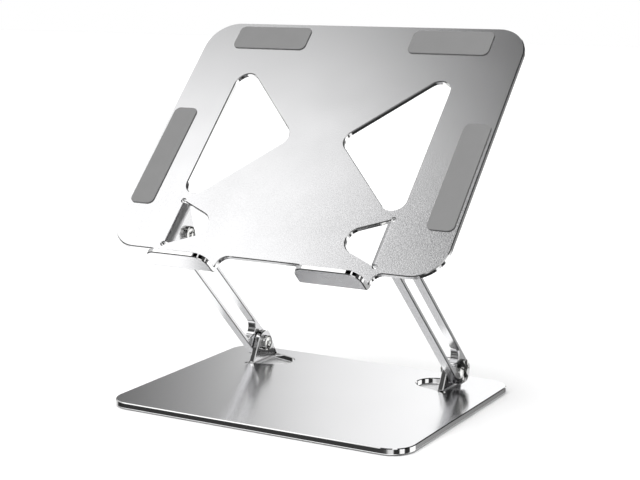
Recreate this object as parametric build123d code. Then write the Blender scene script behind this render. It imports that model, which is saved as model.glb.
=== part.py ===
from build123d import *
import os
from math import acos, atan2, cos, hypot, radians, sin

# Laptop stand: a base plate, two arms that swing on it and a tray that tilts on the arms.
# Millimetres, +Z up, +X to the user's right, +Y to the back. The origin is on the table,
# under the middle of the base plate.

# Base plate
base_width = 250.0
base_depth = 192.0
base_thickness = 4.5
base_corner_radius = 18.0
base_pivot_from_rear = 31.5
base_pivot_height = 13.2          # above the plate's top face
base_cutout_tip_x = 57.5
base_cutout_tip_radius = 14.0

# Foot pads under the base plate
foot_length = 26.0
foot_width = 12.0
foot_thickness = 1.0
foot_corner_radius = 5.0
foot_inset = 6.0                  # from the plate's edges to the pad

# Tray plate, leaning back
tray_width = 278.0
tray_depth = 223.0
tray_thickness = 4.0
tray_corner_radius = 25.0
tray_tilt = 45.5                  # degrees from level
tray_pivot_from_edge = 25.0       # up the tray from its lower edge
tray_cutout_tip_x = 58.3
tray_cutout_tip_radius = 11.0

# Pair of triangular openings, each with its point towards the middle of the tray
triangle_point_x = 20.0
triangle_height = 73.0
triangle_from_edge = 111.4
triangle_corner_radius = 10.0

# Front hooks, bent forward out of the tray's lower edge
hook_centre_x = 62.6
hook_width = 53.0
hook_drop = 10.0                  # from the tray's lower edge down to the hook's inner face
hook_height = 17.4                # from the tray's front face out to the rim
hook_rim_radius = 10.0
hook_root_radius = 8.0

# Silicone pads on the tray
pad_thickness = 1.0
pad_corner_radius = 5.0
pad_edge_radius = 0.3
top_pad_length = 66.5
top_pad_width = 22.6
top_pad_inner_x = 45.0
top_pad_from_top = 4.0
side_pad_length = 93.5
side_pad_width = 21.0
side_pad_from_side = 3.0
side_pad_from_edge = 39.0

# Hinge ears, bent out of both plates
ear_outer_x = 87.5
ear_half_width = 18.0
ear_tip_radius = 10.3
bend_radius = 1.0                 # on the inside of every bend
relief_radius = 1.6
cut_gap = 0.3

# Arms
arm_length = 154.0                # pivot to pivot
arm_width = 21.6
arm_thickness = 7.5
arm_elevation = 45.0              # degrees from level
arm_slot_width = 15.4
arm_slot_from_pivot = 12.9
arm_tray_clearance = 0.6          # between an arm's round end and the tray's back face

# Friction pivots: a barrel nut from inside, a screw from outside, washers and a disc spring
barrel_radius = 4.0
barrel_head_radius = 5.75
barrel_head_thickness = 2.5
barrel_socket_flats = 4.0
barrel_socket_depth = 1.5
barrel_floor = 3.0                # solid length of the barrel behind its screw hole
screw_radius = 2.5
screw_length = 9.0
screw_head_radius = 6.5
screw_head_thickness = 2.4
screw_head_edge = 0.7
screw_socket_flats = 5.0
screw_socket_depth = 1.6
washer_radius = 7.4
washer_thickness = 0.5
spring_radius = 5.6
spring_thickness = 0.5
spring_height = 1.0
running_clearance = 0.05

# Broken edges
plate_edge = 0.6
arm_edge = 0.5
small_edge = 0.2

# Tolerance for picking edges and corners by their place
pick_tolerance = 0.2

# Heights and places that follow from the sizes above
base_top = foot_thickness + base_thickness
base_pivot_y = base_depth / 2 - base_pivot_from_rear
base_pivot_z = base_top + base_pivot_height
tray_pivot_y = base_pivot_y - arm_length * cos(radians(arm_elevation))
tray_pivot_z = base_pivot_z + arm_length * sin(radians(arm_elevation))
tray_pivot_height = arm_width / 2 + arm_tray_clearance      # behind the tray's back face
bend_line_x = ear_outer_x + bend_radius
arm_inner_x = ear_outer_x + washer_thickness + 2 * running_clearance
arm_outer_x = arm_inner_x + arm_thickness
bore_radius = barrel_radius + running_clearance

# The tray is drawn lying flat: X across, Y up the tray from its lower edge, Z out of its front.
tray_place = (
    Pos(0, tray_pivot_y, tray_pivot_z)
    * Rot(tray_tilt, 0, 0)
    * Pos(0, -tray_pivot_from_edge, tray_thickness + tray_pivot_height)
)
sides = {"left": -1, "right": 1}


def tongue(half_width, reach, radius):
    """Face with a straight root on the Y axis and a round tip centred at reach along +X."""
    tangent = atan2(half_width, -reach) - acos(radius / hypot(reach, half_width))
    x = reach + radius * cos(tangent)
    y = radius * sin(tangent)
    root = Line((0, -half_width), (0, half_width))
    upper = Line((0, half_width), (x, y))
    tip = ThreePointArc((x, y), (reach + radius, 0), (x, -y))
    lower = Line((x, -y), (0, -half_width))
    return make_face([root, upper, tip, lower])


def mirrored(shape, side):
    """The shape as drawn on the right, or its mirror image on the left."""
    return shape if side > 0 else mirror(shape, about=Plane.YZ)


def hinge_cutout(tip_x, tip_radius):
    """Outline of the hole that the right ear leaves, with a round relief at each bend end."""
    root_half_width = ear_half_width + cut_gap + relief_radius
    reach = bend_line_x - tip_x - tip_radius
    outline = Pos(bend_line_x, 0) * Rot(0, 0, 180) * tongue(root_half_width, reach, tip_radius)
    for end in (-1, 1):
        outline += Pos(bend_line_x, end * root_half_width) * Circle(relief_radius)
    return outline


def broken_edges(plate, is_joint):
    """The plate with the edges of its two faces broken, except where another piece joins it."""
    faces = plate.faces().filter_by(Axis.Z).sort_by(Axis.Z)
    edges = faces[0].edges() + faces[-1].edges()
    return chamfer([edge for edge in edges if not is_joint(edge.center())], plate_edge)


def ear(thickness, pivot_height):
    """Right ear with its bend: the plate lies below Z = 0 and the ear stands up from it."""
    inner_x = ear_outer_x - thickness
    outer_radius = bend_radius + thickness
    corner = Pos(-outer_radius / 2, -outer_radius / 2) * Rectangle(outer_radius, outer_radius)
    quarter = (Circle(outer_radius) - Circle(bend_radius)) & corner
    bend = extrude(Plane.XZ * Pos(bend_line_x, bend_radius) * quarter, ear_half_width, both=True)
    wall_plane = Plane(origin=(inner_x, 0, bend_radius), x_dir=(0, 0, 1), z_dir=(1, 0, 0))
    outline = tongue(ear_half_width, pivot_height - bend_radius, ear_tip_radius)
    wall = extrude(wall_plane * outline, thickness)
    tip_edges = wall.edges().filter_by(GeomType.CIRCLE)
    wall = chamfer(tip_edges, plate_edge)
    bore_plane = Plane(origin=(inner_x, 0, pivot_height), z_dir=(1, 0, 0))
    return bend + wall - extrude(bore_plane * Circle(bore_radius), thickness)


def base_plate():
    """Base plate with its two ears, standing on the feet's top faces."""
    outline = RectangleRounded(base_width, base_depth, base_corner_radius)
    for side in sides.values():
        cutout = Pos(0, base_pivot_y) * hinge_cutout(base_cutout_tip_x, base_cutout_tip_radius)
        outline -= mirrored(cutout, side)
    plate = Pos(0, 0, foot_thickness) * extrude(outline, base_thickness)
    plate = broken_edges(
        plate,
        lambda centre: abs(abs(centre.X) - bend_line_x) < pick_tolerance,
    )
    right_ear = Pos(0, base_pivot_y, base_top) * ear(base_thickness, base_pivot_height)
    for side in sides.values():
        plate += mirrored(right_ear, side)
    return plate


def foot(side, end):
    """Foot pad under one corner: side is -1 or 1 across, end is -1 in front and 1 behind."""
    x = side * (base_width / 2 - foot_inset - foot_length / 2)
    y = end * (base_depth / 2 - foot_inset - foot_width / 2)
    outline = RectangleRounded(foot_length, foot_width, foot_corner_radius)
    return Pos(x, y, 0) * extrude(outline, foot_thickness)


def arm(side):
    """Slotted bar between the two pivots of one side."""
    bar = SlotCenterToCenter(arm_length, arm_width)
    slot_ends = arm_length - 2 * arm_slot_from_pivot - arm_slot_width
    bar -= SlotCenterToCenter(slot_ends, arm_slot_width)
    for end in (-1, 1):
        bar -= Pos(end * arm_length / 2, 0) * Circle(bore_radius)
    middle_y = (base_pivot_y + tray_pivot_y) / 2
    middle_z = (base_pivot_z + tray_pivot_z) / 2
    plane = Plane(
        origin=(arm_inner_x, middle_y, middle_z),
        x_dir=(0, -cos(radians(arm_elevation)), sin(radians(arm_elevation))),
        z_dir=(1, 0, 0),
    )
    solid = extrude(plane * bar, arm_thickness)
    faces = solid.faces().filter_by(Axis.X).sort_by(Axis.X)
    edges = faces[0].edges() + faces[-1].edges()
    bores = [edge for edge in edges if edge.geom_type == GeomType.CIRCLE and edge.is_closed]
    solid = chamfer([edge for edge in edges if edge not in bores], arm_edge)
    return mirrored(solid, side)


def hook():
    """Right hook, drawn on the flat tray: the bend under the lower edge, then the upright lip."""
    bend_y = bend_radius - hook_drop
    facing_front = {"x_dir": (1, 0, 0), "z_dir": (0, -1, 0)}
    neck = Rectangle(hook_width, tray_thickness)
    neck = chamfer(neck.vertices(), plate_edge)
    neck_plane = Plane(origin=(hook_centre_x, bend_y, -tray_thickness / 2), **facing_front)
    bend = revolve(neck_plane * neck, Axis((0, bend_y, bend_radius), (-1, 0, 0)), 90)
    lip_height = hook_height - bend_radius
    lip_outline = Pos(0, lip_height / 2) * Rectangle(hook_width, lip_height)
    rim_corners = lip_outline.vertices().sort_by(Axis.Y)[-2:]
    lip_outline = fillet(rim_corners, hook_rim_radius)
    lip_plane = Plane(origin=(hook_centre_x, -hook_drop, bend_radius), **facing_front)
    lip = extrude(lip_plane * lip_outline, tray_thickness)
    faces = lip.faces().filter_by(Axis.Y).sort_by(Axis.Y)
    edges = faces[0].edges() + faces[-1].edges()
    root_top = bend_radius + pick_tolerance
    lip = chamfer([edge for edge in edges if edge.center().Z > root_top], plate_edge)
    return bend + lip


def tray_outline():
    """Outline of the flat tray with the necks of its hooks, and its openings and ear holes."""
    outline = Pos(0, tray_depth / 2) * RectangleRounded(tray_width, tray_depth, tray_corner_radius)
    neck_length = hook_drop - bend_radius
    triangle = Polygon(
        (triangle_point_x, triangle_from_edge),
        (triangle_point_x + triangle_height, triangle_from_edge - triangle_height),
        (triangle_point_x + triangle_height, triangle_from_edge + triangle_height),
        align=None,
    )
    triangle = fillet(triangle.vertices(), triangle_corner_radius)
    cutout = Pos(0, tray_pivot_from_edge) * hinge_cutout(tray_cutout_tip_x, tray_cutout_tip_radius)
    for side in sides.values():
        outline += Pos(side * hook_centre_x, 0) * Rectangle(hook_width, 2 * neck_length)
    root_reach = hook_width / 2 + pick_tolerance
    roots = [
        corner
        for corner in outline.vertices()
        if abs(corner.Y) < pick_tolerance and abs(abs(corner.X) - hook_centre_x) < root_reach
    ]
    outline = fillet(roots, hook_root_radius)
    for side in sides.values():
        outline -= mirrored(triangle, side)
        outline -= mirrored(cutout, side)
    return outline


def tray_plate():
    """Tray plate with its ears behind and its hooks in front, leaning on the arms."""
    plate = Pos(0, 0, -tray_thickness) * extrude(tray_outline(), tray_thickness)
    neck_end_y = bend_radius - hook_drop
    plate = broken_edges(
        plate,
        lambda centre: abs(abs(centre.X) - bend_line_x) < pick_tolerance
        or abs(centre.Y - neck_end_y) < pick_tolerance,
    )
    ear_place = Pos(0, tray_pivot_from_edge, -tray_thickness) * Rot(180, 0, 0)
    right_ear = ear_place * ear(tray_thickness, tray_pivot_height)
    right_hook = hook()
    for side in sides.values():
        plate += mirrored(right_ear, side)
        plate += mirrored(right_hook, side)
    return tray_place * plate


def pad(length_x, length_y, centre_x, centre_y):
    """Silicone pad on the tray's front face, placed as on the flat tray."""
    solid = extrude(RectangleRounded(length_x, length_y, pad_corner_radius), pad_thickness)
    solid = fillet(solid.faces().sort_by(Axis.Z)[-1].edges(), pad_edge_radius)
    return tray_place * Pos(centre_x, centre_y, 0) * solid


def top_pad(side):
    """Pad along the tray's upper edge."""
    centre_x = side * (top_pad_inner_x + top_pad_length / 2)
    centre_y = tray_depth - top_pad_from_top - top_pad_width / 2
    return pad(top_pad_length, top_pad_width, centre_x, centre_y)


def side_pad(side):
    """Pad along the tray's side edge."""
    centre_x = side * (tray_width / 2 - side_pad_from_side - side_pad_width / 2)
    centre_y = side_pad_from_edge + side_pad_length / 2
    return pad(side_pad_width, side_pad_length, centre_x, centre_y)


def turned(points):
    """Solid of revolution about the X axis from (x, radius) points."""
    return revolve(Plane.XY * make_face(Polyline(*points, close=True)), Axis.X)


def hex_socket(x, direction, flats, depth):
    """Hexagonal recess that goes depth along the X direction from x."""
    plane = Plane(origin=(x, 0, 0), x_dir=(0, 1, 0), z_dir=(direction, 0, 0))
    return extrude(plane * RegularPolygon(flats / 2, 6, major_radius=False), depth)


def ring(x_start, thickness, outer_radius):
    """Flat washer on the barrel, from x_start outwards."""
    inner_radius = barrel_radius + 2 * running_clearance
    plane = Plane(origin=(x_start, 0, 0), z_dir=(1, 0, 0))
    return extrude(plane * (Circle(outer_radius) - Circle(inner_radius)), thickness)


def pivot_pieces(ear_thickness):
    """Pieces of one right-hand pivot, on the X axis, in the order they go on from inside."""
    spring_face = ear_outer_x - ear_thickness - running_clearance
    head_face = spring_face - spring_height - running_clearance
    head_end = head_face - barrel_head_thickness
    washer_in = ear_outer_x + running_clearance
    washer_out = arm_outer_x + running_clearance
    screw_face = washer_out + washer_thickness + running_clearance
    barrel_end = screw_face - 2 * running_clearance
    screw_hole_start = head_face + barrel_floor
    hole_radius = screw_radius + running_clearance
    spring_inner = barrel_radius + 2 * running_clearance
    spring_rise = spring_height - spring_thickness

    barrel = turned([
        (head_end, 0),
        (head_end, barrel_head_radius - small_edge),
        (head_end + small_edge, barrel_head_radius),
        (head_face, barrel_head_radius),
        (head_face, barrel_radius),
        (barrel_end, barrel_radius),
        (barrel_end, hole_radius),
        (screw_hole_start, hole_radius),
        (screw_hole_start, 0),
    ])
    barrel -= hex_socket(head_end, 1, barrel_socket_flats, barrel_socket_depth)

    disc_spring = turned([
        (spring_face, spring_radius),
        (spring_face - spring_thickness, spring_radius),
        (spring_face - spring_height, spring_inner),
        (spring_face - spring_rise, spring_inner),
    ])

    screw_end = screw_face + screw_head_thickness
    tip = screw_face - screw_length
    screw = turned([
        (tip, 0),
        (tip, screw_radius - small_edge),
        (tip + small_edge, screw_radius),
        (screw_face, screw_radius),
        (screw_face, screw_head_radius),
        (screw_end - screw_head_edge, screw_head_radius),
        (screw_end, screw_head_radius - screw_head_edge),
        (screw_end, 0),
    ])
    screw -= hex_socket(screw_end, -1, screw_socket_flats, screw_socket_depth)

    return {
        "barrel_nut": barrel,
        "disc_spring": disc_spring,
        "inner_washer": ring(washer_in, washer_thickness, washer_radius),
        "outer_washer": ring(washer_out, washer_thickness, washer_radius),
        "cap_screw": screw,
    }


def all_parts():
    """Every piece in its place, by name."""
    parts = {"base_plate": base_plate(), "tray_plate": tray_plate()}
    pivots = {
        "base": (Pos(0, base_pivot_y, base_pivot_z), base_thickness),
        "tray": (Pos(0, tray_pivot_y, tray_pivot_z) * Rot(tray_tilt, 0, 0), tray_thickness),
    }
    for name, side in sides.items():
        parts[f"foot_front_{name}"] = foot(side, -1)
        parts[f"foot_rear_{name}"] = foot(side, 1)
        parts[f"arm_{name}"] = arm(side)
        parts[f"top_pad_{name}"] = top_pad(side)
        parts[f"side_pad_{name}"] = side_pad(side)
        for pivot, (place, ear_thickness) in pivots.items():
            for piece, solid in pivot_pieces(ear_thickness).items():
                parts[f"{pivot}_{piece}_{name}"] = mirrored(place * solid, side)
    return parts


os.makedirs("parts", exist_ok=True)
for part_name, shape in all_parts().items():
    export_step(shape, f"parts/{part_name}.step")
    print(part_name, len(shape.solids()), round(shape.volume, 1))
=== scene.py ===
"""Looks of an aluminium laptop stand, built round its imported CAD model.

The stand is a base plate, two slotted arms and a tilting tray. The sheet metal, arms, springs and
washers are the CAD nodes in procedural finishes; the pads, feet, screws and barrel nuts are
modelled here. Lengths in the dataclasses are millimetres, and angles are degrees, unless a name
says otherwise.
"""

from __future__ import annotations

import logging
from collections.abc import Callable
from dataclasses import dataclass
from enum import Enum
from math import cos, degrees, radians, sin

import bmesh
import bpy
from mathutils import Matrix, Vector


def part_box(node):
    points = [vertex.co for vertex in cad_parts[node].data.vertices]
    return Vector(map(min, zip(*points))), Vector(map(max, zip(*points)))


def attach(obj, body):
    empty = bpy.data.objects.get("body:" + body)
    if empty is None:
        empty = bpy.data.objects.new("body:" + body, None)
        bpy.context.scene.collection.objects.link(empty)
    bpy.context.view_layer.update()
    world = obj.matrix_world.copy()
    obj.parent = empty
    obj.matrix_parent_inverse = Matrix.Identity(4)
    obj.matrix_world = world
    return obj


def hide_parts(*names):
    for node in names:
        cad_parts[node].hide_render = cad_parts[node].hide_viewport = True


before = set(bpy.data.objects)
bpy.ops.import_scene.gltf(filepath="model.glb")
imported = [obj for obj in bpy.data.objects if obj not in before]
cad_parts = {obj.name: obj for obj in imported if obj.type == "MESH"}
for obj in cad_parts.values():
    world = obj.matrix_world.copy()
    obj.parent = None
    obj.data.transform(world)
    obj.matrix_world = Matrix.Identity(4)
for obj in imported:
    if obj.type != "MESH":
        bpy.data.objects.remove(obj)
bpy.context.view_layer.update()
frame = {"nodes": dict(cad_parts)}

log = logging.getLogger("laptop_stand")

MM = 0.001
# The tray at rest, and where its pivots are: up from its lower edge, and behind its back face.
TRAY_TILT = 45.5
TRAY_PIVOT_FROM_EDGE = 25.0
TRAY_PIVOT_BEHIND = 11.4
TRAY_THICKNESS = 4.0
BASE_THICKNESS = 4.5
# Nearly all of a noise's values lie in this range.
NOISE_RANGE = {"From Min": 0.3, "From Max": 0.7}
# Cosines that tell a surface square to an axis from a slanted one, and one that lies along it.
SQUARE = 0.97
LEVEL = 0.3
# Masks reach this far past a face.
FACE_SLACK = 0.1
# Edges sharper than this stay sharp when a piece is shaded smooth.
SMOOTH_ANGLE = radians(35)


class Side(Enum):
    """The two hands of the stand, as its user sees them."""

    LEFT = "left"
    RIGHT = "right"


class Body(Enum):
    """The CAD bodies that pieces ride on."""

    BASE = "base"
    LEFT_ARM = "left_arm"
    RIGHT_ARM = "right_arm"
    TRAY = "tray"


def linear(code: str) -> tuple[float, float, float, float]:
    """Turn an sRGB hex colour into linear light.

    Args:
        code: Colour as "#rrggbb".

    Returns:
        Red, green, blue and an alpha of one.
    """
    parts = [int(code[i : i + 2], 16) / 255 for i in (1, 3, 5)]
    red, green, blue = (p / 12.92 if p <= 0.04045 else ((p + 0.055) / 1.055) ** 2.4 for p in parts)
    return red, green, blue, 1.0


def add_node(
    tree: bpy.types.NodeTree,
    kind: str,
    inputs: dict | None = None,
    stops: list[tuple[float, float]] | None = None,
    **settings: object,
) -> bpy.types.Node:
    """Add one node with its settings and links.

    Args:
        tree: Node tree that gets the node.
        kind: Node type, such as "ShaderNodeMath".
        inputs: Values or output sockets for the node's inputs, by name or number.
        stops: For a colour ramp, its (position, grey level) stops.
        settings: Properties of the node.

    Returns:
        The new node.
    """
    node = tree.nodes.new(kind)
    for name, value in settings.items():
        setattr(node, name, value)
    for name, value in (inputs or {}).items():
        if isinstance(value, bpy.types.NodeSocket):
            tree.links.new(value, node.inputs[name])
        else:
            node.inputs[name].default_value = value
    if stops:
        elements = node.color_ramp.elements
        while len(elements) < len(stops):
            elements.new(1.0)
        for element, (position, level) in zip(elements, stops):
            element.position = position
            element.color = (level, level, level, 1.0)
    return node


def tray_place() -> Matrix:
    """Place of the flat-drawn tray in the row frame, in millimetres.

    Returns:
        The place, with X across the tray, Y up it and Z out of its front.
    """
    axis_low, axis_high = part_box("tray_barrel_nut_left")
    pivot = (axis_low + axis_high) / 2 / MM
    lift = Matrix.Translation((0, -TRAY_PIVOT_FROM_EDGE, TRAY_THICKNESS + TRAY_PIVOT_BEHIND))
    tilt = Matrix.Rotation(radians(TRAY_TILT), 4, "X")
    return Matrix.Translation((0, pivot.y, pivot.z)) @ tilt @ lift


def base_place() -> Matrix:
    """Place of the base plate's top face under its pivots, in the row frame, in millimetres."""
    axis_low, axis_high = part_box("base_barrel_nut_left")
    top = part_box("foot_front_left")[1].z / MM + BASE_THICKNESS
    return Matrix.Translation((0, (axis_low.y + axis_high.y) / 2 / MM, top))


# --- finishes -------------------------------------------------------------------------------------


def new_material(name: str) -> tuple[bpy.types.Material, bpy.types.Node]:
    """Make a material that has nothing but a Texture Coordinate node.

    Args:
        name: Name of the material.

    Returns:
        The material and its Texture Coordinate node.
    """
    made = bpy.data.materials.new(name)
    made.use_nodes = True
    made.node_tree.nodes.clear()
    return made, add_node(made.node_tree, "ShaderNodeTexCoord")


@dataclass(frozen=True)
class SheetFrame:
    """Where a bent sheet's faces lie, for telling its two faces from its cut edges.

    The frame has X across, Y along the sheet with zero at the pivots and Z out of the side that
    the hinge ears stand on, with Z = 0 on that side's face. Hooks lie past hook_line on Y. The
    bends of the ears lie between the two values of ear_bend on X, on both sides of the middle.
    """

    place: Matrix
    thickness: float
    hook_line: float | None = None
    ear_bend: tuple[float, float] = (83.4, 88.6)
    ear_half_width: float = 18.05
    bend_rise: float = 1.05


@dataclass(frozen=True)
class SheetAluminium:
    """Anodised aluminium sheet: blasted or satin faces, and cut edges that are polished bright.

    One corner can be given, towards which the grain is drawn stronger and the colour darker. For
    each axis it gives where in the row frame the grain is weakest, where it is full, and the least
    share of it.
    """

    name: str
    face_colour: str
    edge_colour: str
    face_roughness: float
    edge_roughness: float
    grain_mm: float
    grain_depth: float
    speck: float
    frame: SheetFrame
    roughness_spread: float = 0.06
    bend_roughness: float = 0.42
    pit_colour: str = "#b8b8ba"
    darker_grain_corner: dict[str, tuple[float, float, float]] | None = None

    def masks(
        self, tree: bpy.types.NodeTree, coords: bpy.types.Node
    ) -> tuple[bpy.types.NodeSocket, bpy.types.NodeSocket]:
        """Work out where the surface is one of the sheet's two faces, and where an ear bends off.

        Args:
            tree: The material's node tree.
            coords: Its Texture Coordinate node.

        Returns:
            A socket that is 1 on the sheet's faces and round its bends and 0 on its cut edges, and
            a socket that is 1 round the bends of the ears only.
        """
        to_sheet = self.frame.place.inverted()
        turn = to_sheet.to_euler()
        point = add_node(
            tree,
            "ShaderNodeMapping",
            {
                "Vector": coords.outputs["Object"],
                "Location": to_sheet.to_translation(),
                "Rotation": turn,
                "Scale": (1 / MM,) * 3,
            },
        )
        normal = add_node(
            tree,
            "ShaderNodeMapping",
            {"Vector": coords.outputs["Normal"], "Rotation": turn},
            vector_type="NORMAL",
        )
        at = add_node(tree, "ShaderNodeSeparateXYZ", {0: point.outputs[0]})
        way = add_node(tree, "ShaderNodeSeparateXYZ", {0: normal.outputs[0]})
        along, height = at.outputs[1], at.outputs[2]
        steep_x, steep_y, steep_z, across, ear_along = (
            add_node(tree, "ShaderNodeMath", {0: value}, operation="ABSOLUTE").outputs[0]
            for value in (*way.outputs[:3], at.outputs[0], along)
        )
        low, high = self.frame.ear_bend
        rules = [
            # The two faces of the plate itself.
            [
                (steep_z, ">", SQUARE),
                (height, "<", FACE_SLACK),
                (height, ">", -self.frame.thickness - FACE_SLACK),
            ],
            # The two faces of each hinge ear.
            [(steep_x, ">", SQUARE), (height, ">", self.frame.bend_rise - FACE_SLACK)],
        ]
        # The bend at each ear's root.
        bend_rule = [
            (steep_y, "<", LEVEL),
            (steep_z, "<", SQUARE),
            (across, ">", low),
            (across, "<", high),
            (height, "<", self.frame.bend_rise),
            (ear_along, "<", self.frame.ear_half_width),
        ]
        if self.frame.hook_line is not None:
            # The faces of the hooks, and the bend at their root.
            hook = (along, ">", self.frame.hook_line)
            hook_foot = -self.frame.thickness - self.frame.bend_rise
            rules.append([(steep_y, ">", SQUARE), hook])
            rules.append([(steep_x, "<", LEVEL), hook, (height, ">", hook_foot)])
        signs = {">": "GREATER_THAN", "<": "LESS_THAN"}
        found: bpy.types.NodeSocket | float = 0.0
        for rule in [*rules, bend_rule]:
            met: bpy.types.NodeSocket | float = 1.0
            for value, sign, limit in rule:
                test = add_node(
                    tree, "ShaderNodeMath", {0: value, 1: limit}, operation=signs[sign]
                )
                met = add_node(
                    tree, "ShaderNodeMath", {0: met, 1: test.outputs[0]}, operation="MULTIPLY"
                ).outputs[0]
            found = add_node(
                tree, "ShaderNodeMath", {0: found, 1: met}, operation="MAXIMUM"
            ).outputs[0]
        return found, met

    def material(self) -> bpy.types.Material:
        """Build the material.

        Returns:
            A Principled metal whose faces have a blasted grain and whose cut edges are polished.
        """
        made, coords = new_material(self.name)
        tree = made.node_tree
        mask, bend = self.masks(tree, coords)
        # Blasting leaves pits of about a tenth of a millimetre. They are drawn coarser, to show.
        grain = add_node(
            tree,
            "ShaderNodeTexNoise",
            {
                "Vector": coords.outputs["Object"],
                "Scale": 1 / (self.grain_mm * MM),
                "Detail": 2.0,
                "Roughness": 0.6,
            },
        )
        # Broad, faint clouding from handling and from the anodising bath, about 40 mm across.
        cloud = add_node(
            tree,
            "ShaderNodeTexNoise",
            {
                "Vector": coords.outputs["Object"],
                "Scale": 1 / (40 * MM),
                "Detail": 3.0,
                "Roughness": 0.55,
            },
        )
        face_rough = add_node(
            tree,
            "ShaderNodeMapRange",
            {
                "Value": cloud.outputs[0],
                **NOISE_RANGE,
                "To Min": self.face_roughness * (1 - self.roughness_spread),
                "To Max": self.face_roughness * (1 + self.roughness_spread),
            },
        )
        roughness = add_node(
            tree,
            "ShaderNodeMix",
            {"Factor": mask, "A": self.edge_roughness, "B": face_rough.outputs[0]},
            data_type="FLOAT",
        )
        # The bends are drawn duller than the flats.
        roughness = add_node(
            tree,
            "ShaderNodeMix",
            {"Factor": bend, "A": roughness.outputs[0], "B": self.bend_roughness},
            data_type="FLOAT",
        )
        speck = add_node(
            tree,
            "ShaderNodeMapRange",
            {"Value": grain.outputs[0], **NOISE_RANGE, "To Min": 0.0, "To Max": self.speck},
        )
        # How strong the grain is drawn: by looks, and not because blasting is known to vary so.
        # Towards the given corner the grain is stronger, and the extra pit colour makes the plate
        # darker there.
        strength = mask
        if self.darker_grain_corner is not None:
            spot = add_node(tree, "ShaderNodeSeparateXYZ", {0: coords.outputs["Object"]})
            for axis, (fine, coarse, least) in self.darker_grain_corner.items():
                share = add_node(
                    tree,
                    "ShaderNodeMapRange",
                    {
                        "Value": spot.outputs[axis],
                        "From Min": fine * MM,
                        "From Max": coarse * MM,
                        "To Min": least,
                    },
                ).outputs[0]
                strength = add_node(
                    tree, "ShaderNodeMath", {0: strength, 1: share}, operation="MULTIPLY"
                ).outputs[0]
        pitted = add_node(
            tree, "ShaderNodeMath", {0: speck.outputs[0], 1: strength}, operation="MULTIPLY"
        )
        metal = add_node(
            tree,
            "ShaderNodeMix",
            {"Factor": mask, "A": linear(self.edge_colour), "B": linear(self.face_colour)},
            data_type="RGBA",
        )
        colour = add_node(
            tree,
            "ShaderNodeMix",
            {"Factor": pitted.outputs[0], "A": metal.outputs[2], "B": linear(self.pit_colour)},
            data_type="RGBA",
        )
        bump = add_node(
            tree,
            "ShaderNodeBump",
            {"Strength": strength, "Distance": self.grain_depth * MM, "Height": grain.outputs[0]},
        )
        shader = add_node(
            tree,
            "ShaderNodeBsdfPrincipled",
            {
                "Base Color": colour.outputs[2],
                "Metallic": 1.0,
                "Roughness": roughness.outputs[0],
                "Normal": bump.outputs[0],
            },
        )
        add_node(tree, "ShaderNodeOutputMaterial", {"Surface": shader.outputs[0]})
        return made


@dataclass(frozen=True)
class TurnedMetal:
    """Plain worked steel, nickel-plated or blackened, with the fine marks of its polishing."""

    name: str
    colour: str
    roughness: float
    mark_mm: float
    mark_depth: float
    roughness_spread: float = 0.12
    dulled_colour: str = "#6f7072"
    dulling: float = 0.12

    def material(self) -> bpy.types.Material:
        """Build the material.

        Returns:
            A Principled metal with fine polishing marks and uneven roughness.
        """
        made, coords = new_material(self.name)
        tree = made.node_tree
        marks = add_node(
            tree,
            "ShaderNodeTexNoise",
            {
                "Vector": coords.outputs["Object"],
                "Scale": 1 / (self.mark_mm * MM),
                "Detail": 3.0,
                "Roughness": 0.6,
            },
        )
        rough = add_node(
            tree,
            "ShaderNodeMapRange",
            {
                "Value": marks.outputs[0],
                **NOISE_RANGE,
                "To Min": self.roughness * (1 - self.roughness_spread),
                "To Max": self.roughness * (1 + self.roughness_spread),
            },
        )
        shade = add_node(
            tree,
            "ShaderNodeMapRange",
            {"Value": marks.outputs[0], **NOISE_RANGE, "To Min": 0.0, "To Max": self.dulling},
        )
        colour = add_node(
            tree,
            "ShaderNodeMix",
            {
                "Factor": shade.outputs[0],
                "A": linear(self.colour),
                "B": linear(self.dulled_colour),
            },
            data_type="RGBA",
        )
        bump = add_node(
            tree,
            "ShaderNodeBump",
            {"Strength": 0.5, "Distance": self.mark_depth * MM, "Height": marks.outputs[0]},
        )
        shader = add_node(
            tree,
            "ShaderNodeBsdfPrincipled",
            {
                "Base Color": colour.outputs[2],
                "Metallic": 1.0,
                "Roughness": rough.outputs[0],
                "Normal": bump.outputs[0],
            },
        )
        add_node(tree, "ShaderNodeOutputMaterial", {"Surface": shader.outputs[0]})
        return made


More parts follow.
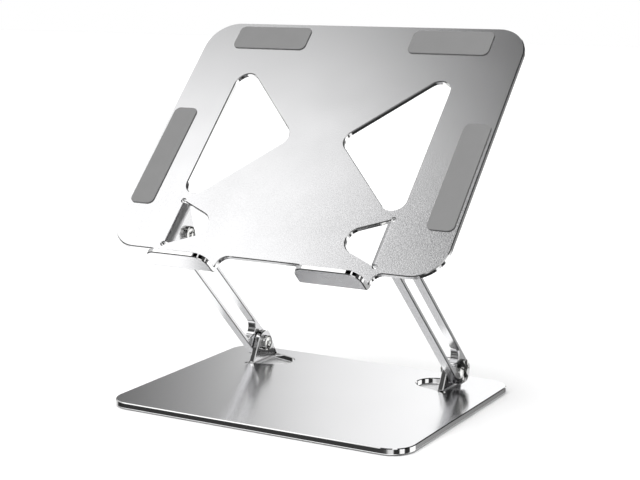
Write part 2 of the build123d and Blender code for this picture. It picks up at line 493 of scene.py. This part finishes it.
@dataclass(frozen=True)
class MilledBarAluminium:
    """Arm bar: satin flats from the extrusion, and round ends that the cutter left bright."""

    name: str = "milled_bar_aluminium"
    colour: str = "#f3f3f4"
    speck_colour: str = "#a9a9aa"
    speck: float = 0.08
    flat_roughness: float = 0.2
    roughness_spread: float = 0.08
    round_roughness: float = 0.035
    round_cosine: float = 0.08
    grain_mm: float = 0.8
    grain_depth: float = 0.004

    def material(self, along: Vector) -> bpy.types.Material:
        """Build the material.

        Args:
            along: Direction of the arms' length at rest.

        Returns:
            A Principled metal, polished wherever the surface turns towards the bar's ends.
        """
        made, coords = new_material(self.name)
        tree = made.node_tree
        lean = add_node(
            tree,
            "ShaderNodeVectorMath",
            {0: coords.outputs["Normal"], 1: along},
            operation="DOT_PRODUCT",
        )
        turned = add_node(tree, "ShaderNodeMath", {0: lean.outputs["Value"]}, operation="ABSOLUTE")
        bright = add_node(
            tree,
            "ShaderNodeMath",
            {0: turned.outputs[0], 1: self.round_cosine},
            operation="GREATER_THAN",
        )
        grain = add_node(
            tree,
            "ShaderNodeTexNoise",
            {
                "Vector": coords.outputs["Object"],
                "Scale": 1 / (self.grain_mm * MM),
                "Detail": 3.0,
                "Roughness": 0.6,
            },
        )
        uneven = add_node(
            tree,
            "ShaderNodeMapRange",
            {
                "Value": grain.outputs[0],
                **NOISE_RANGE,
                "To Min": self.flat_roughness * (1 - self.roughness_spread),
                "To Max": self.flat_roughness * (1 + self.roughness_spread),
            },
        )
        roughness = add_node(
            tree,
            "ShaderNodeMix",
            {"Factor": bright.outputs[0], "A": uneven.outputs[0], "B": self.round_roughness},
            data_type="FLOAT",
        )
        speck = add_node(
            tree,
            "ShaderNodeMapRange",
            {"Value": grain.outputs[0], **NOISE_RANGE, "To Min": 0.0, "To Max": self.speck},
        )
        colour = add_node(
            tree,
            "ShaderNodeMix",
            {"Factor": speck.outputs[0], "A": linear(self.colour), "B": linear(self.speck_colour)},
            data_type="RGBA",
        )
        flat = add_node(
            tree, "ShaderNodeMath", {0: 1.0, 1: bright.outputs[0]}, operation="SUBTRACT"
        )
        bump = add_node(
            tree,
            "ShaderNodeBump",
            {
                "Strength": flat.outputs[0],
                "Distance": self.grain_depth * MM,
                "Height": grain.outputs[0],
            },
        )
        shader = add_node(
            tree,
            "ShaderNodeBsdfPrincipled",
            {
                "Base Color": colour.outputs[2],
                "Metallic": 1.0,
                "Roughness": roughness.outputs[0],
                "Normal": bump.outputs[0],
            },
        )
        add_node(tree, "ShaderNodeOutputMaterial", {"Surface": shader.outputs[0]})
        return made


@dataclass(frozen=True)
class Elastomer:
    """Moulded silicone, rubber or nylon: matt, faintly mottled, with a fine moulded grain."""

    name: str
    colour: str
    mottle_colour: str
    roughness: float
    ior: float
    grain_mm: float
    grain_depth: float
    roughness_spread: float = 0.05

    def material(self) -> bpy.types.Material:
        """Build the material.

        Returns:
            A Principled plastic with mottled colour, moulded grain and uneven roughness.
        """
        made, coords = new_material(self.name)
        tree = made.node_tree
        grain = add_node(
            tree,
            "ShaderNodeTexNoise",
            {
                "Vector": coords.outputs["Object"],
                "Scale": 1 / (self.grain_mm * MM),
                "Detail": 2.0,
                "Roughness": 0.5,
            },
        )
        # Bloom and handling make the tone drift over about 15 mm.
        mottle = add_node(
            tree,
            "ShaderNodeTexNoise",
            {
                "Vector": coords.outputs["Object"],
                "Scale": 1 / (15 * MM),
                "Detail": 4.0,
                "Roughness": 0.6,
            },
        )
        colour = add_node(
            tree,
            "ShaderNodeMix",
            {
                "Factor": mottle.outputs[0],
                "A": linear(self.colour),
                "B": linear(self.mottle_colour),
            },
            data_type="RGBA",
        )
        rough = add_node(
            tree,
            "ShaderNodeMapRange",
            {
                "Value": grain.outputs[0],
                **NOISE_RANGE,
                "To Min": self.roughness - self.roughness_spread,
                "To Max": self.roughness + self.roughness_spread,
            },
        )
        bump = add_node(
            tree,
            "ShaderNodeBump",
            {"Strength": 0.6, "Distance": self.grain_depth * MM, "Height": grain.outputs[0]},
        )
        shader = add_node(
            tree,
            "ShaderNodeBsdfPrincipled",
            {
                "Base Color": colour.outputs[2],
                "Roughness": rough.outputs[0],
                "IOR": self.ior,
                "Normal": bump.outputs[0],
            },
        )
        add_node(tree, "ShaderNodeOutputMaterial", {"Surface": shader.outputs[0]})
        return made


def dress(nodes: list[str], material: bpy.types.Material) -> None:
    """Give CAD nodes a finish.

    Args:
        nodes: Names of CAD nodes.
        material: The finish for all of their slots.
    """
    for name in nodes:
        for slot in frame["nodes"][name].material_slots:
            slot.material = material
        log.info("%s: %s", name, material.name)


# --- modelled pieces ------------------------------------------------------------------------------


def select_faces(piece: bpy.types.Object, wanted: Callable[[bmesh.types.BMFace], bool]) -> None:
    """Select the faces of the piece in edit mode that pass a test, and nothing else.

    Args:
        piece: Object in edit mode.
        wanted: Test of one face.
    """
    mesh = bmesh.from_edit_mesh(piece.data)
    for element in [*mesh.verts, *mesh.edges, *mesh.faces]:
        element.select_set(False)
    for face in mesh.faces:
        if wanted(face):
            face.select_set(True)
    bmesh.update_edit_mesh(piece.data)


@dataclass
class PadMould:
    """A moulded pad: a rounded slab with a soft rim, on a film of adhesive set in from it."""

    length: float
    width: float
    thickness: float
    corner: float
    rim: float = 0.35
    film: float = 0.18
    film_inset: float = 0.45
    film_overlap: float = 0.02
    land: float = 1.1
    dish: float = 0.06
    dish_slope: float = 0.5
    foot_rim: float = 0.12
    corner_segments: int = 12
    rim_segments: int = 4

    def slab(self, length: float, width: float, corner: float, height: float) -> bpy.types.Object:
        """Model a slab with rounded corners that stands on Z = 0.

        Args:
            length: Size along X.
            width: Size along Y.
            corner: Corner radius.
            height: Size along Z.

        Returns:
            The slab, left in edit mode with its top face selected.
        """
        bpy.ops.object.select_all(action="DESELECT")
        bpy.ops.mesh.primitive_plane_add(size=1)
        piece = bpy.context.object
        bpy.ops.object.mode_set(mode="EDIT")
        bpy.ops.transform.resize(value=(length * MM, width * MM, 1))
        bpy.ops.mesh.bevel(offset=corner * MM, segments=self.corner_segments, affect="VERTICES")
        bpy.ops.mesh.select_all(action="SELECT")
        bpy.ops.mesh.extrude_region_move(TRANSFORM_OT_translate={"value": (0, 0, height * MM)})
        bpy.ops.mesh.select_all(action="SELECT")
        bpy.ops.mesh.normals_make_consistent(inside=False)
        select_faces(piece, lambda face: face.normal.z > 0.9)
        return piece

    def build(self, name: str, place: Matrix) -> bpy.types.Object:
        """Model the pad and put it in place.

        Args:
            name: Name of the piece.
            place: Place in millimetres of the pad's foot, with Z out of its face.

        Returns:
            The finished piece.
        """
        film = self.slab(
            self.length - 2 * self.film_inset,
            self.width - 2 * self.film_inset,
            self.corner - self.film_inset,
            self.film + self.film_overlap,
        )
        bpy.ops.object.mode_set(mode="OBJECT")
        pad = self.slab(self.length, self.width, self.corner, self.thickness - self.film)
        bpy.ops.mesh.bevel(offset=self.rim * MM, segments=self.rim_segments, affect="EDGES")
        select_faces(pad, lambda face: face.normal.z > 0.99)
        bpy.ops.mesh.inset(thickness=self.land * MM)
        bpy.ops.mesh.inset(thickness=self.dish_slope * MM, depth=-self.dish * MM)
        select_faces(pad, lambda face: face.normal.z < -0.99)
        bpy.ops.mesh.bevel(offset=self.foot_rim * MM, segments=2, affect="EDGES")
        bpy.ops.mesh.select_all(action="SELECT")
        bpy.ops.transform.translate(value=(0, 0, self.film * MM))
        bpy.ops.object.mode_set(mode="OBJECT")
        bpy.ops.object.select_all(action="DESELECT")
        film.select_set(True)
        pad.select_set(True)
        bpy.context.view_layer.objects.active = pad
        bpy.ops.object.join()
        bpy.ops.object.shade_smooth_by_angle(angle=SMOOTH_ANGLE)
        pad.name = pad.data.name = name
        in_metres = place.copy()
        in_metres.translation *= MM
        pad.matrix_world = in_metres
        bpy.ops.object.transform_apply(location=True, rotation=True, scale=True)
        return pad


@dataclass(frozen=True)
class Fastener:
    """A turned screw or nut: a crowned head with a hexagon socket, on a plain or bored shank."""

    head_radius: float
    head_thickness: float
    socket: float
    socket_depth: float
    shank_radius: float
    bore_radius: float = 0.0
    bore_floor: float = 3.0
    rim: float = 0.7
    crown: tuple[tuple[float, float], ...] = ((0.16, 0.18), (0.2, 0.11), (0.2, 0.05))
    worn: float = 0.12
    sides: int = 72

    def build(self, name: str, node: str, outward: int, tilt: float) -> bpy.types.Object:
        """Model the fastener and put it in the place of its CAD node.

        Args:
            name: Name of the piece.
            node: CAD node that it stands for.
            outward: 1 if the head looks along X, and -1 if it looks the other way.
            tilt: Turn of the socket about the pivot.

        Returns:
            The finished piece.
        """
        low, high = (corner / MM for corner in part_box(node))
        shank = high.x - low.x - self.head_thickness
        flat_radius = self.head_radius - self.rim
        # The head's face rises towards the middle in three shallow rings.
        rings = [(flat_radius * share, rise) for share, rise in self.crown]
        drum = self.head_thickness - sum(rise for _, rise in rings)
        bpy.ops.object.select_all(action="DESELECT")
        bpy.ops.mesh.primitive_cylinder_add(
            vertices=self.sides,
            radius=self.head_radius * MM,
            depth=drum * MM,
            location=(0, 0, drum / 2 * MM),
        )
        piece = bpy.context.object
        bpy.ops.object.transform_apply(location=True, rotation=False, scale=False)
        bpy.ops.object.mode_set(mode="EDIT")
        select_faces(piece, lambda face: face.normal.z > 0.9)
        bpy.ops.mesh.bevel(offset=self.rim * MM, segments=6, affect="EDGES")
        select_faces(piece, lambda face: face.normal.z > 0.99)
        for step, rise in rings:
            bpy.ops.mesh.inset(thickness=step * MM, depth=rise * MM)
        select_faces(piece, lambda face: face.normal.z < -0.9)
        bpy.ops.mesh.inset(thickness=(self.head_radius - self.shank_radius) * MM)
        bpy.ops.mesh.extrude_region_move(TRANSFORM_OT_translate={"value": (0, 0, -shank * MM)})
        if self.bore_radius:
            bpy.ops.mesh.inset(thickness=(self.shank_radius - self.bore_radius) * MM)
            bore = shank - self.bore_floor
            bpy.ops.mesh.extrude_region_move(TRANSFORM_OT_translate={"value": (0, 0, bore * MM)})
        bpy.ops.mesh.select_all(action="SELECT")
        bpy.ops.mesh.normals_make_consistent(inside=False)
        bpy.ops.object.mode_set(mode="OBJECT")
        bpy.ops.object.select_all(action="DESELECT")
        bpy.ops.mesh.primitive_cylinder_add(
            vertices=6,
            radius=self.socket / 2 / cos(radians(30)) * MM,
            depth=2 * self.socket_depth * MM,
            location=(0, 0, self.head_thickness * MM),
        )
        cutter = bpy.context.object
        bpy.context.view_layer.objects.active = piece
        cut = piece.modifiers.new("socket", "BOOLEAN")
        cut.operation, cut.solver, cut.object = "DIFFERENCE", "EXACT", cutter
        soften = piece.modifiers.new("worn_corners", "BEVEL")
        soften.width, soften.segments, soften.limit_method = self.worn * MM, 2, "ANGLE"
        soften.angle_limit = radians(40)
        for modifier in (cut, soften):
            bpy.ops.object.modifier_apply(modifier=modifier.name)
        bpy.data.objects.remove(cutter)
        piece.select_set(True)
        bpy.ops.object.shade_smooth_by_angle(angle=SMOOTH_ANGLE)
        piece.name = piece.data.name = name
        middle = (low + high) / 2
        seat = (high.x if outward > 0 else low.x) - outward * self.head_thickness
        in_metres = Matrix.Translation(Vector((seat, middle.y, middle.z)) * MM)
        facing = Matrix.Rotation(radians(90 * outward), 4, "Y")
        turn = Matrix.Rotation(radians(tilt), 4, "X") @ facing
        piece.matrix_world = in_metres @ turn
        bpy.ops.object.transform_apply(location=True, rotation=True, scale=True)
        return piece


def centre_of(node: str) -> Vector:
    """Centre of a CAD node's box, in millimetres."""
    low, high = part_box(node)
    return (low + high) / 2 / MM


def finish_piece(
    piece: bpy.types.Object, node: str, body: Body, material: bpy.types.Material
) -> None:
    """Hang a modelled piece on its body in place of its CAD node.

    Args:
        piece: The modelled piece.
        node: CAD node that it stands for.
        body: Body that it rides on.
        material: Its finish.
    """
    piece.data.materials.clear()
    piece.data.materials.append(material)
    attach(piece, body.value)
    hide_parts(node)
    log.info("%s stands for %s", piece.name, node)


# --- sub-assemblies -------------------------------------------------------------------------------


@dataclass
class Tray:
    """The tray plate with its hooks and ears, and its four silicone pads."""

    pad_thickness: float = 1.0
    pad_corner: float = 5.0
    top_pad: tuple[float, float] = (66.5, 22.6)
    side_pad: tuple[float, float] = (21.0, 93.5)

    def build(self) -> None:
        """Dress the plate and model the pads."""
        place = tray_place()
        # From behind: the ears stand on the back face, which is one thickness below the front.
        back_face = Matrix.Translation((0, TRAY_PIVOT_FROM_EDGE, -TRAY_THICKNESS))
        behind = place @ back_face @ Matrix.Rotation(radians(180), 4, "X")
        sheet = SheetAluminium(
            name="bead_blasted_anodised_aluminium",
            face_colour="#fbfbfc",
            edge_colour="#fafafa",
            face_roughness=0.22,
            edge_roughness=0.07,
            grain_mm=0.9,
            grain_depth=0.05,
            speck=0.65,
            frame=SheetFrame(place=behind, thickness=TRAY_THICKNESS, hook_line=33.95),
            darker_grain_corner={"X": (0.0, 90.0, 0.3), "Z": (205.0, 150.0, 0.2)},
        )
        dress(["tray_plate"], sheet.material())
        silicone = Elastomer(
            name="moulded_grey_silicone",
            colour="#7f7f7f",
            mottle_colour="#797979",
            roughness=0.62,
            ior=1.41,
            grain_mm=0.8,
            grain_depth=0.02,
        ).material()
        rotation = place.to_3x3().to_4x4()
        out = place.to_3x3() @ Vector((0, 0, 1))
        for side in Side:
            for kind, (across, up) in (("top_pad", self.top_pad), ("side_pad", self.side_pad)):
                node = f"{kind}_{side.value}"
                foot = centre_of(node) - out * self.pad_thickness / 2
                mould = PadMould(
                    length=across, width=up, thickness=self.pad_thickness, corner=self.pad_corner
                )
                piece = mould.build(f"{node}_silicone", Matrix.Translation(foot) @ rotation)
                finish_piece(piece, node, Body.TRAY, silicone)


@dataclass
class Base:
    """The base plate with its ears, and the feet under it."""

    foot: tuple[float, float, float] = (26.0, 12.0, 1.0)
    foot_corner: float = 5.0

    def build(self) -> None:
        """Dress the plate and model the feet."""
        sheet = SheetAluminium(
            name="satin_anodised_aluminium",
            face_colour="#f2f2f3",
            edge_colour="#f8f8f8",
            face_roughness=0.18,
            edge_roughness=0.07,
            grain_mm=0.7,
            grain_depth=0.012,
            speck=0.08,
            frame=SheetFrame(place=base_place(), thickness=BASE_THICKNESS),
        )
        dress(["base_plate"], sheet.material())
        rubber = Elastomer(
            name="moulded_black_rubber",
            colour="#2a2a2b",
            mottle_colour="#343435",
            roughness=0.7,
            ior=1.5,
            grain_mm=0.5,
            grain_depth=0.02,
        ).material()
        length, width, thickness = self.foot
        for side in Side:
            for end in ("front", "rear"):
                node = f"foot_{end}_{side.value}"
                top = centre_of(node) + Vector((0, 0, thickness / 2))
                mould = PadMould(
                    length=length, width=width, thickness=thickness, corner=self.foot_corner
                )
                place = Matrix.Translation(top) @ Matrix.Rotation(radians(180), 4, "X")
                piece = mould.build(f"{node}_rubber", place)
                finish_piece(piece, node, Body.BASE, rubber)


@dataclass
class Linkage:
    """The two slotted arms and the friction pivots at both of their ends."""

    screw: Fastener = Fastener(
        head_radius=6.5, head_thickness=2.4, socket=5.0, socket_depth=1.6, shank_radius=2.5
    )
    nut: Fastener = Fastener(
        head_radius=5.75,
        head_thickness=2.5,
        socket=4.0,
        socket_depth=1.5,
        shank_radius=4.0,
        bore_radius=2.55,
    )

    def build(self) -> None:
        """Dress the arms, springs and washers, and model the screws and barrel nuts."""
        hands = [side.value for side in Side]
        along = centre_of("tray_barrel_nut_left") - centre_of("base_barrel_nut_left")
        bar = MilledBarAluminium().material(along.normalized())
        dress([f"arm_{hand}" for hand in hands], bar)
        steel = TurnedMetal(
            name="nickel_plated_steel",
            colour="#eeeeec",
            roughness=0.1,
            mark_mm=0.6,
            mark_depth=0.002,
        )
        spring = TurnedMetal(
            name="blackened_spring_steel",
            colour="#5c5b5a",
            roughness=0.3,
            mark_mm=0.5,
            mark_depth=0.006,
        )
        nylon = Elastomer(
            name="moulded_black_nylon",
            colour="#161617",
            mottle_colour="#1e1e1f",
            roughness=0.4,
            ior=1.53,
            grain_mm=0.4,
            grain_depth=0.008,
        )
        for material, kinds in (
            (spring.material(), ("disc_spring",)),
            (nylon.material(), ("inner_washer", "outer_washer")),
        ):
            for pivot in (Body.BASE, Body.TRAY):
                names = [f"{pivot.value}_{kind}_{hand}" for kind in kinds for hand in hands]
                dress(names, material)
        plating = steel.material()
        for body, tilt in ((Body.BASE, 0.0), (Body.TRAY, TRAY_TILT)):
            for side, outward in ((Side.LEFT, -1), (Side.RIGHT, 1)):
                for kind, fastener, way in (
                    ("cap_screw", self.screw, outward),
                    ("barrel_nut", self.nut, -outward),
                ):
                    node = f"{body.value}_{kind}_{side.value}"
                    piece = fastener.build(f"{node}_turned", node, way, tilt)
                    finish_piece(piece, node, body, plating)


# --- studio ---------------------------------------------------------------------------------------


@dataclass(frozen=True)
class Card:
    """A light or dark card of the studio, as a patch of the sky.

    Azimuth is 0 behind the stand and positive to its right; elevation is above the horizon. The
    card's rim fades over twice the angle in soft.
    """

    azimuth: float
    elevation: float
    half_width: float
    half_height: float
    level: float
    soft: float


@dataclass
class Studio:
    """Plain pale floor, soft light and the camera.

    The sky's levels are set for the front view, and from elsewhere the metal mirrors other parts
    of it. Above overhead_from the sky fades along X, between two places and two levels (overhead),
    and along Y, where crown gives two places and two shares. Below nadir_from it fades along X,
    between two places and two levels (nadir). Between them, horizon and below give levels by
    azimuth. Each "from" has the elevation where the change starts and where it is complete.
    """

    target: tuple[float, float, float] = (1.4, 8.3, 122.0)
    azimuth: float = 29.62
    elevation: float = 10.65
    distance: float = 1129.6
    roll: float = -0.17
    lens: float = 83.93
    floor_size: float = 9000.0
    overhead: tuple[float, ...] = (-0.327, -0.507, 0.0, 1.35)
    crown: tuple[float, ...] = (-0.13, -0.05, 1.0, 0.22)
    nadir: tuple[float, ...] = (-0.14, 0.02, 1.2, 0.03)
    overhead_from: tuple[float, float] = (36.0, 46.0)
    below_from: tuple[float, float] = (2.0, -4.0)
    nadir_from: tuple[float, float] = (-36.0, -48.0)
    horizon: tuple[tuple[float, float], ...] = (
        (-180, 0.10),
        (-150, 0.10),
        (-110, 0.80),
        (-70, 0.50),
        (-50, 0.12),
        (-38, 0.14),
        (-34, 0.40),
        (-30, 0.90),
        (-25, 1.15),
        (8, 1.15),
        (13, 0.20),
        (17, 0.03),
        (40, 0.03),
        (48, 0.85),
        (57, 0.85),
        (60, 0.05),
        (98, 0.05),
        (104, 0.60),
        (122, 0.60),
        (136, 0.25),
        (160, 0.15),
        (180, 0.10),
    )
    below: tuple[tuple[float, float], ...] = (
        (-180, 0.10),
        (-165, 0.05),
        (-100, 0.02),
        (-88, 0.10),
        (-75, 0.80),
        (-58, 0.85),
        (-48, 0.50),
        (-36, 0.90),
        (-10, 0.90),
        (0, 0.60),
        (9, 0.15),
        (22, 0.22),
        (26, 0.30),
        (31.8, 0.78),
        (35.5, 1.35),
        (66, 1.10),
        (69, 0.04),
        (94, 0.03),
        (98, 1.00),
        (117, 1.00),
        (121, 0.03),
        (144, 0.03),
        (150, 0.80),
        (168, 0.70),
        (180, 0.10),
    )
    cards: tuple[Card, ...] = (
        Card(azimuth=-158, elevation=17, half_width=42, half_height=30, level=0.07, soft=4.0),
        Card(azimuth=-158, elevation=6, half_width=38, half_height=1.1, level=0.95, soft=0.6),
        Card(azimuth=-158, elevation=17, half_width=38, half_height=1.2, level=0.95, soft=0.6),
        Card(azimuth=-6, elevation=4, half_width=44, half_height=4, level=0.05, soft=1.5),
        Card(azimuth=-56, elevation=59, half_width=20, half_height=9, level=0.95, soft=4.0),
        Card(azimuth=130, elevation=68, half_width=20, half_height=5, level=1.0, soft=0.8),
        Card(azimuth=67, elevation=17, half_width=8, half_height=5, level=1.0, soft=0.8),
        Card(azimuth=56, elevation=-34, half_width=11, half_height=5, level=0.04, soft=1.0),
        Card(azimuth=62, elevation=-47, half_width=8, half_height=4, level=1.0, soft=1.0),
    )

    def sky(self) -> None:
        """Build the light all round, which the camera itself sees as plain white."""
        scene = bpy.context.scene
        world = bpy.data.worlds.new("studio_sky")
        world.use_nodes = True
        scene.world = world
        tree = world.node_tree
        tree.nodes.clear()
        coords = add_node(tree, "ShaderNodeTexCoord")
        way = add_node(tree, "ShaderNodeSeparateXYZ", {0: coords.outputs["Generated"]})
        x, y, z = way.outputs[:3]
        turn = add_node(tree, "ShaderNodeMath", {0: x, 1: y}, operation="ARCTAN2")
        rise = add_node(tree, "ShaderNodeMath", {0: z}, operation="ARCSINE")
        azimuth, elevation = (
            add_node(
                tree, "ShaderNodeMath", {0: angle.outputs[0], 1: degrees(1)}, operation="MULTIPLY"
            ).outputs[0]
            for angle in (turn, rise)
        )
        share = add_node(
            tree, "ShaderNodeMapRange", {"Value": azimuth, "From Min": -180.0, "From Max": 180.0}
        ).outputs[0]
        bands = []
        for stops in (self.horizon, self.below):
            ramp = [((angle + 180) / 360, level) for angle, level in stops]
            bands.append(add_node(tree, "ShaderNodeValToRGB", {0: share}, stops=ramp).outputs[0])
        fades = []
        for value, (start, end, first, last), easing in (
            (x, self.overhead, "SMOOTHSTEP"),
            (y, self.crown, "LINEAR"),
            (x, self.nadir, "SMOOTHSTEP"),
        ):
            fade = add_node(
                tree,
                "ShaderNodeMapRange",
                {
                    "Value": value,
                    "From Min": start,
                    "From Max": end,
                    "To Min": first,
                    "To Max": last,
                },
                interpolation_type=easing,
            )
            fades.append(fade.outputs[0])
        overhead, crown, nadir = fades
        top = add_node(
            tree, "ShaderNodeMath", {0: overhead, 1: crown}, operation="MULTIPLY"
        ).outputs[0]
        level = bands[0]
        for value, (start, end) in (
            (top, self.overhead_from),
            (bands[1], self.below_from),
            (nadir, self.nadir_from),
        ):
            factor = add_node(
                tree, "ShaderNodeMapRange", {"Value": elevation, "From Min": start, "From Max": end}
            ).outputs[0]
            level = add_node(
                tree, "ShaderNodeMix", {"Factor": factor, "A": level, "B": value}, data_type="FLOAT"
            ).outputs[0]
        for card in self.cards:
            inside = []
            for angle, middle, half in (
                (azimuth, card.azimuth, card.half_width),
                (elevation, card.elevation, card.half_height),
            ):
                offset = angle
                for operation, values in (
                    ("SUBTRACT", (middle,)),
                    ("WRAP", (180.0, -180.0)),
                    ("ABSOLUTE", ()),
                ):
                    given = dict(enumerate((offset, *values)))
                    offset = add_node(
                        tree, "ShaderNodeMath", given, operation=operation
                    ).outputs[0]
                inside.append(
                    add_node(
                        tree,
                        "ShaderNodeMapRange",
                        {
                            "Value": offset,
                            "From Min": half + card.soft,
                            "From Max": half - card.soft,
                        },
                    ).outputs[0]
                )
            factor = add_node(
                tree, "ShaderNodeMath", dict(enumerate(inside)), operation="MULTIPLY"
            ).outputs[0]
            level = add_node(
                tree,
                "ShaderNodeMix",
                {"Factor": factor, "A": level, "B": card.level},
                data_type="FLOAT",
            ).outputs[0]
        lit = add_node(tree, "ShaderNodeBackground", {"Color": level})
        plain = add_node(tree, "ShaderNodeBackground", {"Color": (1.0, 1.0, 1.0, 1.0)})
        path = add_node(tree, "ShaderNodeLightPath")
        seen = add_node(
            tree,
            "ShaderNodeMixShader",
            {0: path.outputs["Is Camera Ray"], 1: lit.outputs[0], 2: plain.outputs[0]},
        )
        add_node(tree, "ShaderNodeOutputWorld", {"Surface": seen.outputs[0]})

    def floor(self) -> None:
        """Lay the pale floor."""
        bpy.ops.object.select_all(action="DESELECT")
        bpy.ops.mesh.primitive_plane_add(size=self.floor_size * MM)
        floor = bpy.context.object
        floor.name = "studio_floor"
        paint = bpy.data.materials.new("matt_white_paint")
        paint.use_nodes = True
        shader = paint.node_tree.nodes["Principled BSDF"]
        shader.inputs["Base Color"].default_value = linear("#f6f6f6")
        shader.inputs["Roughness"].default_value = 0.9
        shader.inputs["Specular IOR Level"].default_value = 0.0
        floor.data.materials.append(paint)
        floor.visible_glossy = False

    def lamps(self) -> None:
        """Light the floor and the matt pieces evenly, from two wide and distant lamps."""
        for name, azimuth, elevation, spread, strength in (
            ("key_light", -150.0, 58.0, 60.0, 2.5),
            ("fill_light", 60.0, 70.0, 90.0, 1.9),
        ):
            lamp = bpy.data.lights.new(name, "SUN")
            lamp.angle = radians(spread)
            lamp.energy = strength
            hung = bpy.data.objects.new(name, lamp)
            bpy.context.scene.collection.objects.link(hung)
            az, el = radians(azimuth), radians(elevation)
            away = Vector((sin(az) * cos(el), cos(az) * cos(el), sin(el)))
            hung.rotation_mode = "QUATERNION"
            hung.rotation_quaternion = away.to_track_quat("Z", "Y")
            hung.visible_glossy = False

    def camera(self) -> None:
        """Set up the camera."""
        lens = bpy.data.cameras.new("studio_camera")
        lens.lens = self.lens
        lens.sensor_fit = "HORIZONTAL"
        lens.clip_start, lens.clip_end = 0.05, 50.0
        camera = bpy.data.objects.new("studio_camera", lens)
        bpy.context.scene.collection.objects.link(camera)
        az, el = radians(self.azimuth), radians(self.elevation)
        back = Vector((sin(az) * cos(el), -cos(az) * cos(el), sin(el)))
        camera.location = (Vector(self.target) + back * self.distance) * MM
        camera.rotation_mode = "QUATERNION"
        roll = Matrix.Rotation(radians(self.roll), 3, "Z").to_quaternion()
        camera.rotation_quaternion = (-back).to_track_quat("-Z", "Y") @ roll
        bpy.context.scene.camera = camera

    def build(self) -> None:
        """Set the stage."""
        bpy.context.scene.view_settings.view_transform = "Standard"
        self.sky()
        self.floor()
        self.lamps()
        self.camera()
        log.info("studio set")


def main() -> None:
    """Build the stand's looks and the studio round it."""
    logging.basicConfig(level=logging.INFO, format="%(name)s: %(message)s")
    for assembly in (Base(), Linkage(), Tray(), Studio()):
        assembly.build()


if __name__ == "__main__":
    main()
